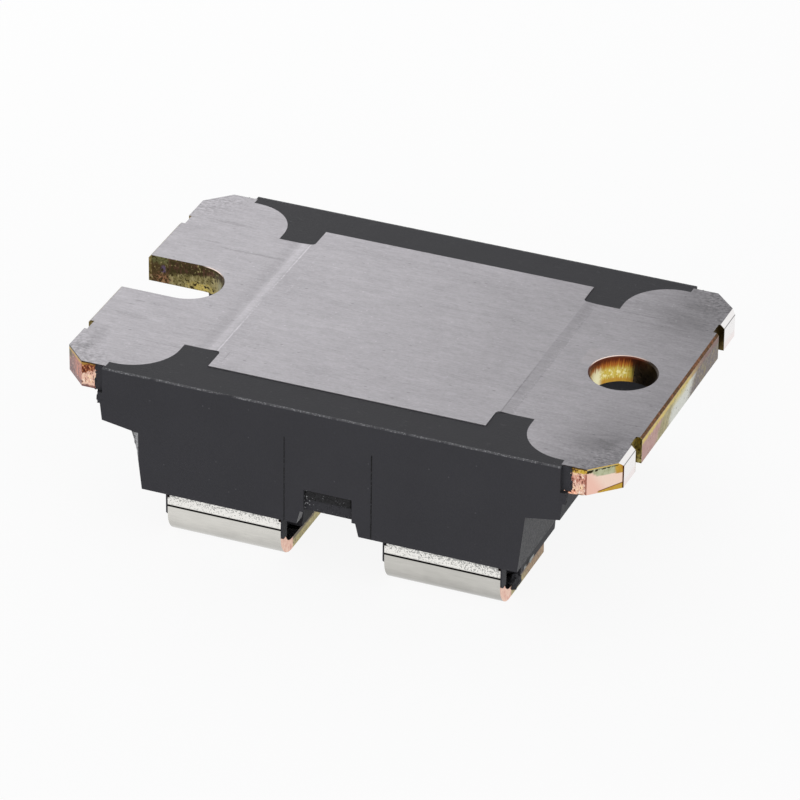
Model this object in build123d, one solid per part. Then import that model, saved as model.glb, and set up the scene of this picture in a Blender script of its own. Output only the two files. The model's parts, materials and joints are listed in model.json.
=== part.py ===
from build123d import *
import math
import os

os.makedirs("parts", exist_ok=True)

# Isolated Schottky diode module with four screw terminals, lying on its terminals.
# Millimetres. +X runs along the long axis to the round mounting hole, +Y runs across, +Z is up.
# The origin is the centre of the footprint, on the plane of the four contact faces.

# Overall
module_height = 12.1

# Baseplate: stamped copper, with its mounting face up
plate_length = 38.0
plate_width = 24.4
plate_thickness = 1.9
corner_chamfer = 1.8
hole_to_end = 3.9
hole_diameter = 4.3
slot_width = 4.4
wing_length = 3.5
lobe_length = 3.5
lobe_setback = 0.55
lobe_radius = 3.2
tooth_gap = 2.525
tooth_fillet = 0.3
pad_setback = 2.5
neck_setback = 2.0
pad_rise = 0.05
pad_bevel_offset = 0.195
pad_bevel_run = 0.83
relief_to_side = 4.45
relief_width = 1.1
relief_depth = 0.4
corner_setback = 0.2
hole_rollover = 0.12
end_rollover = 0.15
tab_bevel = 0.28

# Housing: moulded round the plate, the terminals and the inner stack
side_cover = 0.4
plate_overhang = 3.4
parting_depth = 2.35
flange_step = 0.2
flange_draft = 0.15
flange_height = 3.8
flange_root_drop = 0.37
flange_ledge = 2.45
tower_draft = 0.45
tower_height = 8.3
underside_depth = 7.37
tower_gap = 4.25
tower_gap_draft = 0.225
skirt_thickness = 0.85
well_radius = 4.2
well_flare_fillet = 3.0
well_mouth_fillet = 0.65
valley_step = 0.25
rim_chamfer = 0.04
gate_width = 3.3
gate_depth = 0.4
gate_top_depth = 5.7

# Terminals: one folded strip each
terminal_pitch_x = 15.05
terminal_width = 7.9
terminal_thickness = 0.8
terminal_hole_diameter = 4.2
terminal_hole_to_face = 5.4
terminal_hole_to_end = 2.7
terminal_corner_fillet = 0.3
bend_inner_radius = 1.0
foot_bend_inner_radius = 0.5
score_height = 2.4
score_depth = 0.25
score_width = 0.12
neck_start = 3.0
neck_relief = 0.15
embedded_width = 6.0
foot_overlap = 1.6

# Nuts and their holders
nut_flats = 7.0
nut_corner_diameter = 7.85
nut_height = 3.2
nut_chamfer_height = 0.5
thread_bore_radius = 1.65
thread_countersink = 0.35
nut_side_clearance = 0.075
nut_end_clearance = 0.15
holder_overhang = 0.15
holder_draft = 5.8
holder_toe = 1.25
holder_root_overhang = 0.525
holder_face_overhang = 0.12
holder_face_bottom = 1.65
bend_relief_start = 3.15
bend_relief_end = 0.75
bend_relief_depth = 0.9
holder_clearance = 0.15
channel_clearance = 0.05
channel_side_clearance = 0.02
holder_corner_chamfer = 0.9
screw_tip_bore_radius = 2.6
screw_tip_depth = 3.0

# Inner stack, listed from the plate down
base_solder_thickness = 0.1
substrate_copper_thickness = 0.3
ceramic_length = 18.4
ceramic_width = 17.6
ceramic_thickness = 0.63
copper_margin = 0.6
pad_gap = 0.8
pad_edge_margin = 0.4
joint_solder_thickness = 0.08
die_to_foot = 1.3
die_thickness = 0.35
clip_width = 5.0
clip_thickness = 0.5
clip_foot_length = 2.0
clip_overlap = 5.0
clip_edge_clearance = 0.1
clip_to_foot = 1.7

# Lengths that follow
lobe_end = plate_length / 2 - wing_length
lobe_start = lobe_end - lobe_length
mounting_pitch = plate_length - 2 * hole_to_end
pad_length = 2 * (lobe_start - tooth_gap)
pad_bevel_start = pad_length / 2 + pad_bevel_offset
rim_length = plate_length - 2 * plate_overhang
flange_length = rim_length + 2 * flange_step
flange_foot_length = flange_length - 2 * flange_draft
tower_length = flange_length - 2 * flange_ledge
tower_foot_length = tower_length - 2 * tower_draft
tower_gap_top = tower_gap - 2 * tower_gap_draft
cross_valley_width = terminal_pitch_x - terminal_width - 2 * holder_root_overhang

# Widths that follow
lobe_width = plate_width - 2 * lobe_setback
pad_width = plate_width - 2 * pad_setback
neck_width = pad_width - 2 * neck_setback
relief_centre = plate_width / 2 - relief_to_side
body_width = plate_width + 2 * side_cover
terminal_face_y = body_width / 2 - skirt_thickness
terminal_pitch_y = 2 * (terminal_face_y - terminal_hole_to_face)
terminal_inner_end = terminal_pitch_y / 2 - terminal_hole_to_end
holder_inner_face = terminal_inner_end - holder_toe
valley_width = 2 * (holder_inner_face - valley_step)
bend_relief_inner = terminal_face_y - bend_relief_start
bend_relief_outer = terminal_face_y - bend_relief_end
copper_width = ceramic_width - 2 * copper_margin
foot_inner_end = copper_width / 2 - foot_overlap
die_size = 2 * foot_inner_end - die_to_foot - pad_edge_margin - pad_gap - clip_foot_length - clip_to_foot
die_y = die_size / 2 + die_to_foot - foot_inner_end

# Heights that follow
lobe_top = module_height - pad_rise
plate_underside = module_height - plate_thickness
flange_bottom = lobe_top - flange_height
flange_root = flange_bottom - flange_root_drop
parting_height = lobe_top - parting_depth
tower_bottom = lobe_top - tower_height
underside = lobe_top - underside_depth
holder_bottom = terminal_thickness + holder_clearance
nut_top = terminal_thickness + nut_height
pocket_top = nut_top + nut_end_clearance


def box_between(low, high):
    """A box from its lowest corner to its highest corner."""
    size = [b - a for a, b in zip(low, high)]
    centre = [(a + b) / 2 for a, b in zip(low, high)]
    return Pos(*centre) * Box(*size)


def four_ways(solid):
    """The same solid in all four quadrants, from the one in +X +Y."""
    return [solid, mirror(solid, about=Plane.YZ), mirror(solid, about=Plane.XZ), Rot(0, 0, 180) * solid]


def plate_outline():
    """The plate seen from above, without its holes: pad, necks, lobes and end wings."""
    pad = Rectangle(pad_length, pad_width)
    neck = Rectangle(2 * lobe_end, neck_width)
    outline = pad + neck
    neck_corners = [
        v for v in outline.vertices()
        if abs(abs(v.X) - pad_length / 2) < 1e-6 and abs(abs(v.Y) - neck_width / 2) < 1e-6
    ]
    outline = fillet(neck_corners, tooth_fillet)
    wing_length = plate_length / 2 - lobe_end
    for side in (-1, 1):
        lobe = Pos(side * (lobe_start + lobe_end) / 2, 0) * Rectangle(lobe_end - lobe_start, lobe_width)
        inner = [v for v in lobe.vertices() if abs(v.X) < lobe_start + 1e-6]
        outline += fillet(inner, lobe_radius)
        wing = Pos(side * (plate_length - wing_length) / 2, 0) * Rectangle(wing_length, plate_width)
        outer = [v for v in wing.vertices() if abs(v.X) > plate_length / 2 - 1e-6]
        outline += chamfer(outer, corner_chamfer)
    return outline


def end_reliefs():
    """What the trimming tool takes from the plate's two ends, as a sketch to subtract."""
    cuts = Sketch()
    outer_y = plate_width / 2 + 1
    for side_y in (-1, 1):
        for side_x in (-1, 1):
            notch = Rectangle(2 * relief_depth, relief_width)
            cuts += Pos(side_x * plate_length / 2, side_y * relief_centre) * notch
        shoulder = Rectangle(2 * corner_setback, outer_y - relief_centre)
        cuts += Pos(-plate_length / 2, side_y * (outer_y + relief_centre) / 2) * shoulder
    return cuts


def make_baseplate(outline):
    """The plate with its raised pad, hole, open slot and rolled edges."""
    slot_end_x = mounting_pitch / 2
    cuts = Pos(mounting_pitch / 2, 0) * Circle(hole_diameter / 2)
    cuts += Pos(-slot_end_x, 0) * Circle(slot_width / 2)
    slot_mouth = plate_length / 2 + 1
    cuts += Pos(-(slot_mouth + slot_end_x) / 2, 0) * Rectangle(slot_mouth - slot_end_x, slot_width)
    face = outline - cuts - end_reliefs()
    slab = Pos(0, 0, plate_underside) * extrude(face, lobe_top - plate_underside)
    top_edges = slab.edges().filter_by(lambda e: abs(e.center().Z - lobe_top) < 1e-6)
    tab_inner = relief_centre + relief_width / 2
    tabs = [
        e for e in top_edges
        if e.center().X > plate_length / 2 - 1e-3 and abs(e.center().Y) > tab_inner
    ]
    slab = chamfer(tabs, tab_bevel)
    top_edges = slab.edges().filter_by(lambda e: abs(e.center().Z - lobe_top) < 1e-6)
    ends = [
        e for e in top_edges
        if abs(e.center().X) > plate_length / 2 - 1e-3 and abs(e.center().Y) < relief_centre
    ]
    slab = chamfer(ends, end_rollover)
    top_edges = slab.edges().filter_by(lambda e: abs(e.center().Z - lobe_top) < 1e-6)
    rims = [e for e in top_edges if abs(e.center().Y) < 1e-3 and e.geom_type == GeomType.CIRCLE]
    slab = chamfer(rims, hole_rollover)
    bevel_end = pad_bevel_start + pad_bevel_run
    profile = Polyline(
        (-bevel_end, lobe_top), (-pad_bevel_start, module_height),
        (pad_bevel_start, module_height), (bevel_end, lobe_top), close=True,
    )
    ridge = extrude(Plane.XZ * make_face(profile), pad_width / 2, both=True)
    column = Pos(0, 0, plate_underside) * extrude(face, plate_thickness)
    return slab + (ridge & column)


def terminal_profile():
    """The strip's section in the YZ plane, for a terminal on the +Y side."""
    foot_face = foot_top()
    points = [
        (terminal_inner_end, 0),
        (terminal_face_y, 0),
        (terminal_face_y, foot_face),
        (foot_inner_end, foot_face),
        (foot_inner_end, foot_face - terminal_thickness),
        (terminal_face_y - terminal_thickness, foot_face - terminal_thickness),
        (terminal_face_y - terminal_thickness, terminal_thickness),
        (terminal_inner_end, terminal_thickness),
    ]
    section = make_face(Polyline(*points, close=True))
    radii = [
        (points[1], bend_inner_radius + terminal_thickness),
        (points[2], foot_bend_inner_radius + terminal_thickness),
        (points[5], foot_bend_inner_radius),
        (points[6], bend_inner_radius),
    ]
    for place, radius in radii:
        corner = section.vertices().sort_by_distance(Vector(*place, 0))[0]
        section = fillet(corner, radius)
    return section


def foot_top():
    """Height of a terminal foot's upper face, under its solder joint."""
    return front_copper_bottom - joint_solder_thickness


def make_terminal():
    """One folded terminal in the +X +Y quadrant."""
    strip = extrude(Plane.YZ * terminal_profile(), terminal_width / 2, both=True)
    beside = (terminal_width - embedded_width) / 2
    for side in (-1, 1):
        edge = side * terminal_width / 2
        far = edge + side * 1.0
        neck_side = edge - side * neck_relief
        foot_side = edge - side * beside
        strip -= box_between(
            (min(neck_side, far), 0, neck_start), (max(neck_side, far), body_width, lobe_top))
        strip -= box_between(
            (min(foot_side, far), 0, tower_bottom + 1), (max(foot_side, far), body_width, lobe_top))
    strip -= box_between(
        (-terminal_width, terminal_face_y - score_depth, score_height - score_width / 2),
        (terminal_width, body_width, score_height + score_width / 2))
    inner_corners = strip.edges().filter_by(Axis.Z).filter_by(
        lambda e: abs(e.center().Y - terminal_inner_end) < 1e-6)
    strip = fillet(inner_corners, terminal_corner_fillet)
    strip = Pos(terminal_pitch_x / 2, 0, 0) * strip
    hole = Cylinder(terminal_hole_diameter / 2, 4 * terminal_thickness)
    return strip - Pos(terminal_pitch_x / 2, terminal_pitch_y / 2, 0) * hole


def hexagon(flats, corner_diameter):
    """A hexagon with two flats facing Y and its corners turned off."""
    return RegularPolygon(flats / 2, 6, major_radius=False) & Circle(corner_diameter / 2)


def make_nut():
    """One M4 nut in the +X +Y quadrant, resting on its terminal."""
    blank = extrude(RegularPolygon(nut_flats / 2, 6, major_radius=False), nut_height)
    turned = Cylinder(nut_corner_diameter / 2, nut_height, align=(Align.CENTER, Align.CENTER, Align.MIN))
    rims = turned.edges().filter_by(GeomType.CIRCLE)
    turned = chamfer(rims, nut_chamfer_height * 0.5, nut_chamfer_height)
    nut = blank & turned
    bore = Cylinder(thread_bore_radius, 3 * nut_height)
    nut -= bore
    mouths = [e for e in nut.edges().filter_by(GeomType.CIRCLE) if e.radius < thread_bore_radius + 1e-3]
    nut = chamfer(mouths, thread_countersink)
    return Pos(terminal_pitch_x / 2, terminal_pitch_y / 2, terminal_thickness) * nut


def make_holder():
    """The nut holder under one tower, drafted, before its pocket is cut."""
    half = terminal_width / 2 + holder_overhang
    centre_x = terminal_pitch_x / 2
    height = tower_bottom + 1 - holder_bottom
    beyond = body_width / 2 + 1
    base = Pos(centre_x, (holder_inner_face + beyond) / 2) * Rectangle(2 * half, beyond - holder_inner_face)
    block = Pos(0, 0, holder_bottom) * extrude(base, height, taper=-holder_draft)
    block &= box_between((0, 0, 0), (body_width, terminal_face_y, lobe_top))
    corner = Polyline(
        (terminal_face_y - holder_corner_chamfer, holder_bottom),
        (terminal_face_y, holder_bottom + holder_corner_chamfer),
        (terminal_face_y + 1, holder_bottom + holder_corner_chamfer),
        (terminal_face_y + 1, 0),
        (terminal_face_y - holder_corner_chamfer, 0),
        close=True,
    )
    block -= Pos(centre_x, 0, 0) * extrude(Plane.YZ * make_face(corner), terminal_width, both=True)
    # Beside the strip only a thin wall is left, which ends where the strip bends; behind it is a relief.
    wall_outside = terminal_width / 2 + holder_face_overhang
    wall_inside = terminal_width / 2 + channel_side_clearance
    for side in (-1, 1):
        outer = centre_x + side * (half + 1)
        for reach, near, far, top in (
            (half - bend_relief_depth, bend_relief_inner, bend_relief_outer, tower_bottom),
            (wall_outside, bend_relief_outer, beyond, tower_bottom),
            (wall_inside, bend_relief_outer, beyond, holder_face_bottom),
        ):
            inner = centre_x + side * reach
            block -= box_between((min(inner, outer), near, 0), (max(inner, outer), far, top))
    return block


def holder_cuts():
    """What is cut from a nut holder: strip channel, nut pocket and screw-tip bore."""
    centre_x = terminal_pitch_x / 2
    half = terminal_width / 2 + channel_side_clearance
    inner_face = terminal_face_y - terminal_thickness - channel_clearance
    channel = box_between(
        (centre_x - half, inner_face, 0), (centre_x + half, terminal_face_y + 0.001, tower_bottom))
    bend_room = box_between(
        (centre_x - half, inner_face - bend_inner_radius, 0),
        (centre_x + half, terminal_face_y, holder_bottom + bend_inner_radius))
    bend_core = Pos(centre_x, inner_face - bend_inner_radius, holder_bottom + bend_inner_radius)
    bend_core = bend_core * Rot(0, 90, 0) * Cylinder(bend_inner_radius, 2 * half)
    place = Pos(centre_x, terminal_pitch_y / 2, 0)
    pocket_shape = hexagon(
        nut_flats + 2 * nut_side_clearance, nut_corner_diameter + 2 * nut_side_clearance)
    pocket = place * extrude(pocket_shape, pocket_top)
    tip = place * Cylinder(
        screw_tip_bore_radius, pocket_top + screw_tip_depth, align=(Align.CENTER, Align.CENTER, Align.MIN))
    return channel + (bend_room - bend_core) + pocket + tip


def well_space(radius, start_x, mouth_fillet):
    """Plan of one screw well in +X: round inside, open at start_x, flared there by a fillet."""
    centre = mounting_pitch / 2
    beyond = flange_length / 2 + 2
    space = Pos(centre, 0) * Circle(radius)
    if start_x > centre:
        space += Pos((centre + beyond) / 2, 0) * Rectangle(beyond - centre, 2 * radius)
    end_room = Pos((start_x + beyond) / 2, 0) * Rectangle(beyond - start_x, body_width + 4)
    space += end_room
    corners = [
        v for v in space.vertices()
        if abs(v.X - start_x) < 1e-4 and abs(v.Y) < radius + 1e-4
    ]
    return fillet(corners, mouth_fillet)


def make_housing(outline, solids_inside):
    """The moulded body, with everything that it is moulded round taken out."""
    rim = rim_length / 2
    side_points = [
        (rim, lobe_top), (rim, parting_height),
        (flange_length / 2, parting_height), (flange_foot_length / 2, flange_bottom),
        (tower_length / 2, flange_root), (tower_length / 2, tower_bottom),
    ]
    profile = side_points + [(-x, z) for x, z in reversed(side_points)]
    body = extrude(Plane.XZ * make_face(Polyline(*profile, close=True)), body_width / 2, both=True)
    long_edges = [
        e for e in body.edges().filter_by(Axis.X)
        if abs(e.center().Z - lobe_top) < 1e-6
    ]
    body = chamfer(long_edges, rim_chamfer)
    draft = math.degrees(math.atan((tower_length - tower_foot_length) / 2 / (flange_root - tower_bottom)))
    end_plan = well_space(well_radius, tower_length / 2, well_flare_fillet)
    end_room = Pos(0, 0, flange_root) * extrude(end_plan, tower_bottom - flange_root - 0.5, taper=-draft)
    flange_plan = well_space(well_radius, flange_length / 2 + 0.01, well_mouth_fillet)
    flange_well = Pos(0, 0, tower_bottom) * extrude(flange_plan, plate_underside - tower_bottom)
    for space in (end_room, flange_well):
        body -= space
        body -= mirror(space, about=Plane.YZ)

    for solid in four_ways(make_holder()):
        body += solid
    skirt_inner = body_width / 2 - skirt_thickness
    reach = body_width
    slope = (tower_gap - tower_gap_top) / 2 / (underside - tower_bottom)
    low_half_gap = tower_gap / 2 + slope * (tower_bottom + 1)
    gap = Polyline(
        (-low_half_gap, -1), (low_half_gap, -1), (tower_gap_top / 2, underside),
        (-tower_gap_top / 2, underside), close=True,
    )
    body -= extrude(Plane.XZ * make_face(gap), reach, both=True)
    cross_half = cross_valley_width / 2
    body -= box_between((-cross_half, -skirt_inner, -1), (cross_half, skirt_inner, underside))
    body -= box_between((-reach, -valley_width / 2, -1), (reach, valley_width / 2, underside))
    gate_top = lobe_top - gate_top_depth
    for side in (-1, 1):
        face = side * body_width / 2
        inner = face - side * gate_depth
        body -= box_between(
            (-gate_width / 2, min(face, inner), underside - 1), (gate_width / 2, max(face, inner), gate_top))
    for solid in four_ways(holder_cuts()):
        body -= solid
    lower_well = Pos(0, 0, -1) * extrude(flange_plan, tower_bottom + 1)
    body -= lower_well
    body -= mirror(lower_well, about=Plane.YZ)
    body -= Pos(0, 0, plate_underside) * extrude(outline, plate_thickness)
    for solid in solids_inside:
        body -= solid
    return body


# Heights of the inner stack
base_solder_bottom = plate_underside - base_solder_thickness
back_copper_bottom = base_solder_bottom - substrate_copper_thickness
ceramic_bottom = back_copper_bottom - ceramic_thickness
front_copper_bottom = ceramic_bottom - substrate_copper_thickness
die_solder_bottom = front_copper_bottom - joint_solder_thickness
die_bottom = die_solder_bottom - die_thickness
clip_solder_bottom = die_bottom - joint_solder_thickness
clip_bottom = clip_solder_bottom - clip_thickness


def layer(length, width, bottom, top, x=0.0, y=0.0):
    """A flat rectangular layer, by its size and the height of its two faces."""
    return Pos(x, y, (bottom + top) / 2) * Box(length, width, top - bottom)


def make_stack():
    """The substrate, the dies and the clips, with their solder layers, by node name."""
    copper_length = ceramic_length - 2 * copper_margin
    pieces = {
        "base_solder": layer(copper_length, copper_width, base_solder_bottom, plate_underside),
        "substrate_back_copper": layer(copper_length, copper_width, back_copper_bottom, base_solder_bottom),
        "ceramic_substrate": layer(ceramic_length, ceramic_width, ceramic_bottom, back_copper_bottom),
    }
    pad_run = (copper_length - pad_gap) / 2
    pad_x = (pad_run + pad_gap) / 2
    cathode_edge = die_y + die_size / 2 + pad_edge_margin
    anode_edge = cathode_edge + pad_gap
    cathode_run = cathode_edge + copper_width / 2
    anode_run = copper_width / 2 - anode_edge
    cathode_y = cathode_edge - cathode_run / 2
    anode_y = anode_edge + anode_run / 2
    for number, side in ((1, -1), (2, 1)):
        x = side * pad_x
        pieces[f"cathode_pad_{number}"] = layer(
            pad_run, cathode_run, front_copper_bottom, ceramic_bottom, x, cathode_y)
        pieces[f"anode_pad_{number}"] = layer(
            pad_run, anode_run, front_copper_bottom, ceramic_bottom, x, anode_y)
        pieces[f"die_solder_{number}"] = layer(
            die_size, die_size, die_solder_bottom, front_copper_bottom, x, die_y)
        pieces[f"diode_die_{number}"] = layer(
            die_size, die_size, die_bottom, die_solder_bottom, x, die_y)
        pieces[f"clip_solder_{number}"] = layer(
            clip_width, clip_overlap, clip_solder_bottom, die_bottom, x, die_y)
        pieces[f"anode_clip_{number}"] = make_clip(x, anode_edge)
        pieces[f"clip_foot_solder_{number}"] = layer(
            clip_width, clip_foot_length, die_solder_bottom, front_copper_bottom,
            x, anode_edge + clip_foot_length / 2)
    return pieces


def make_clip(x, anode_edge):
    """A folded copper clip from the top of one die to its anode pad."""
    foot_under = die_solder_bottom - clip_thickness
    bridge_start = die_y + die_size / 2 + clip_edge_clearance
    outer = [
        (die_y - clip_overlap / 2, clip_solder_bottom),
        (bridge_start, clip_solder_bottom),
        (anode_edge, die_solder_bottom),
        (anode_edge + clip_foot_length, die_solder_bottom),
        (anode_edge + clip_foot_length, foot_under),
        (anode_edge, foot_under),
        (bridge_start, clip_bottom),
        (die_y - clip_overlap / 2, clip_bottom),
    ]
    section = make_face(Polyline(*outer, close=True))
    return Pos(x, 0, 0) * extrude(Plane.YZ * section, clip_width / 2, both=True)


def make_terminal_solder():
    """The four joints between the terminals' feet and their pads."""
    joint = layer(
        embedded_width, foot_overlap, foot_top(), front_copper_bottom,
        terminal_pitch_x / 2, foot_inner_end + foot_overlap / 2)
    return Compound(children=four_ways(joint))


outline = plate_outline()
nodes = {"baseplate": make_baseplate(outline)}
quadrants = ("anode_terminal_2", "anode_terminal_1", "cathode_terminal_2", "cathode_terminal_1")
terminals = dict(zip(quadrants, four_ways(make_terminal())))
nodes.update(terminals)
nut_names = ("anode_nut_2", "anode_nut_1", "cathode_nut_2", "cathode_nut_1")
nodes.update(zip(nut_names, four_ways(make_nut())))
stack = make_stack()
stack["terminal_solder"] = make_terminal_solder()
inside = list(terminals.values()) + list(stack.values())
nodes["housing"] = make_housing(outline, inside)
nodes.update(stack)

for name, solid in nodes.items():
    export_step(solid, f"parts/{name}.step")
    print(name, round(solid.volume, 2))
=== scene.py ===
# %% [markdown]
# The object is a flat power module, about the size of half a matchbox. It lies on its four folded
# terminals, with its metal mounting plate up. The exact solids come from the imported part. This lesson
# gives them their finishes, adds the small things that a mould, a press and a furnace leave behind,
# and lights the whole as for a catalogue.

# %% Load the solids
import contextlib
import json
import math

import bpy
from mathutils import Matrix, Vector


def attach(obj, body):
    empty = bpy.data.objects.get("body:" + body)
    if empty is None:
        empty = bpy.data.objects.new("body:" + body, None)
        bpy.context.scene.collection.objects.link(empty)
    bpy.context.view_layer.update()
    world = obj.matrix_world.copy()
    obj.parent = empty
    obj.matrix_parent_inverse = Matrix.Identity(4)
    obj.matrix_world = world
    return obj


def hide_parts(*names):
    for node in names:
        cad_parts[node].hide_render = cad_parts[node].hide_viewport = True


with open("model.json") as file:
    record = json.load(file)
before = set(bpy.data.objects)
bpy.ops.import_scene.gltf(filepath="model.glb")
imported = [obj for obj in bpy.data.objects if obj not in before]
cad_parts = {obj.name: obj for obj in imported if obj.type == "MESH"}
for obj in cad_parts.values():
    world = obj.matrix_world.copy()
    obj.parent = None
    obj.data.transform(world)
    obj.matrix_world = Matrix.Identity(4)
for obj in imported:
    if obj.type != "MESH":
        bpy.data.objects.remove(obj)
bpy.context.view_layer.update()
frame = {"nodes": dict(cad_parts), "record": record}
scene = bpy.context.scene
MM = 0.001

# %% [markdown]
# The camera stands far off with a long lens, as product photographers do to keep parallel edges
# nearly parallel. Its place could be set by eye. Here it was found by matching known corners of the
# plate to the picture, so it is written as a direction, a distance and a small roll.

# %% Camera
def aim_camera(azimuth, elevation, roll, distance, target, lens):
    """Angles in degrees round the target, distance in metres, lens in millimetres."""
    a, e, r = (math.radians(v) for v in (azimuth, elevation, roll))
    back = Vector((math.sin(a) * math.cos(e), -math.cos(a) * math.cos(e), math.sin(e)))
    level = Vector((math.cos(a), math.sin(a), 0))
    upright = back.cross(level)
    right = math.cos(r) * level + math.sin(r) * upright
    up = math.cos(r) * upright - math.sin(r) * level
    data = bpy.data.cameras.new("camera")
    data.sensor_width, data.lens = 36.0, lens
    data.clip_start, data.clip_end = 0.01, 20.0
    camera = bpy.data.objects.new("camera", data)
    scene.collection.objects.link(camera)
    turn = Matrix((right, up, back)).transposed().to_4x4()
    camera.matrix_world = Matrix.Translation(Vector(target) + back * distance) @ turn
    scene.camera = camera
    return camera


camera = aim_camera(
    azimuth=21.7408, elevation=30.1628, roll=0.7746, distance=0.378666,
    target=(-0.00045518, 0.0006955, 0.0061), lens=261.82)
print("camera at", [round(v, 3) for v in camera.location])

# %% [markdown]
# Every finish below is a small web of nodes. Wiring them one call at a time is long and hard to read,
# so this class gives each usual node one short word. A value handed to it may be a plain number or
# another node's output.

# %% Short words for wiring nodes
class Wiring:
    def __init__(self, tree):
        self.nodes, self.links = tree.nodes, tree.links

    def put(self, kind, values=(), **settings):
        node = self.nodes.new("ShaderNode" + kind)
        for name, value in settings.items():
            setattr(node, name, value)
        for socket, value in dict(values).items():
            self.feed(node.inputs[socket], value)
        return node

    def feed(self, socket, value):
        """Link an output to a socket, or set the socket; a colour of three values is made opaque."""
        if isinstance(value, bpy.types.NodeSocket):
            self.links.new(value, socket)
        elif value is not None:
            opaque = socket.type == "RGBA" and len(value) == 3
            socket.default_value = (*value, 1) if opaque else value

    def calc(self, operation, *values):
        node = self.put("Math", operation=operation)
        for socket, value in zip(node.inputs, values):
            self.feed(socket, value)
        return node.outputs[0]

    def plus(self, a, b):
        return self.calc("ADD", a, b)

    def minus(self, a, b):
        return self.calc("SUBTRACT", a, b)

    def times(self, a, b):
        return self.calc("MULTIPLY", a, b)

    def size(self, value):
        """A value without its sign."""
        return self.calc("ABSOLUTE", value)

    def add(self, value, share, total):
        """The total with a share of the value on top."""
        return self.calc("MULTIPLY_ADD", value, share, total)

    def vary(self, pattern, reach, total):
        """The total moved up and down by a pattern that swings round one half."""
        return self.add(self.minus(pattern, 0.5), reach, total)

    def rise(self, value, start, end):
        """Nought below start, one above end, and a soft step between them."""
        node = self.put("MapRange", {0: value, 1: start, 2: end}, interpolation_type="SMOOTHSTEP")
        return node.outputs[0]

    def fall(self, value, start, end):
        return self.minus(1.0, self.rise(value, start, end))

    def span(self, value, low, high, soft=0.05):
        """One between low and high, with soft shoulders."""
        start = self.rise(value, low - soft, low + soft)
        return self.times(start, self.fall(value, high - soft, high + soft))

    def both(self, *masks):
        total = masks[0]
        for mask in masks[1:]:
            total = self.times(total, mask)
        return total

    def either(self, *masks):
        total = masks[0]
        for mask in masks[1:]:
            total = self.calc("MAXIMUM", total, mask)
        return total

    def lay(self, under, mask, over):
        """A number over another one, where the mask is one."""
        return self.put("Mix", {0: mask, 2: under, 3: over}, data_type="FLOAT").outputs[0]

    def paint(self, under, mask, over):
        """A colour over another one, where the mask is one."""
        return self.put("Mix", {0: mask, 6: under, 7: over}, data_type="RGBA").outputs[2]

    def shade(self, colour, amount):
        """A colour made lighter or darker by a number."""
        return self.put("HueSaturation", {"Color": colour, "Value": amount}).outputs[0]

    def stretch(self, vector, x, y, z):
        return self.put("VectorMath", {0: vector, 1: (x, y, z)}, operation="MULTIPLY").outputs[0]

    def noise(self, vector, scale=1.0, detail=2.0, roughness=0.5):
        values = {"Vector": vector, "Scale": scale, "Detail": detail, "Roughness": roughness}
        return self.put("TexNoise", values).outputs["Fac"]

    def ramp(self, value, stops):
        """Colours along a value from 0 to 1; each stop is a place and a colour."""
        node = self.put("ValToRGB", {0: value})
        elements = node.color_ramp.elements
        while len(elements) < len(stops):
            elements.new(0.5)
        for element, (place, colour) in zip(elements, stops):
            element.position, element.color = place, (*colour, 1)
        return node.outputs[0]

    def bump(self, height, depth):
        return self.put("Bump", {"Height": height, "Distance": depth * MM}).outputs[0]


# %% [markdown]
# A finish is built up like coats of paint: one colour lies under, and others go over it, each through
# a mask that is one where the colour shows and nought where it doesn't. Masks are made from the place
# of a point on the object, so each material starts with that place in millimetres.

# %% Coats of colour, and the start and end of a material
class Coat:
    """A colour that takes others on top of it, each only where all of its masks are one."""
    def __init__(self, wiring, colour):
        self.wiring, self.colour = wiring, colour

    def where(self, *masks, show):
        self.colour = self.wiring.paint(self.colour, self.wiring.both(*masks), show)


def new_material(name):
    material = bpy.data.materials.new(name)
    material.use_nodes = True
    material.node_tree.nodes.clear()
    return material, Wiring(material.node_tree)


def place_on_piece(wiring):
    """Where a point lies on the object, in millimetres, whole and split."""
    coordinates = wiring.put("TexCoord").outputs["Object"]
    place = wiring.put("VectorMath", {0: coordinates, "Scale": 1 / MM}, operation="SCALE").outputs[0]
    return place, *wiring.put("SeparateXYZ", {0: place}).outputs


def facing_of(wiring):
    """Which way the face under a point looks, split."""
    return wiring.put("SeparateXYZ", {0: wiring.put("NewGeometry").outputs["True Normal"]}).outputs


def close(wiring, colour, roughness, metallic, normal, **constants):
    """The shader and the output that end a finish."""
    looks = {"Base Color": colour, "Roughness": roughness, "Metallic": metallic, "Normal": normal}
    shader = wiring.put("BsdfPrincipled", {**constants, **looks})
    wiring.links.new(shader.outputs[0], wiring.put("OutputMaterial").inputs[0])


# %% [markdown]
# A catalogue picture stands its object on plain white. White could be made by pouring light on, but
# that would bleach the metal. So the world and the floor are white only where the camera, a mirror or
# a glass looks straight at them, and dim for all their other light. The floor keeps a little of the
# object's shadow.

# %% World and floor
def seen_directly(wiring):
    path = wiring.put("LightPath").outputs
    return wiring.either(path["Is Camera Ray"], path["Is Glossy Ray"], path["Is Transmission Ray"])


def make_world(dim_light):
    world = bpy.data.worlds.new("studio")
    scene.world = world
    world.use_nodes = True
    world.node_tree.nodes.clear()
    w = Wiring(world.node_tree)
    dim = w.put("Background", {"Color": (0.97, 0.98, 1), "Strength": dim_light})
    white = w.put("Background", {"Color": (1, 1, 1), "Strength": 1.0})
    mixed = w.put("MixShader", {0: seen_directly(w), 1: dim.outputs[0], 2: white.outputs[0]})
    w.links.new(mixed.outputs[0], w.put("OutputWorld").inputs[0])


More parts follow.
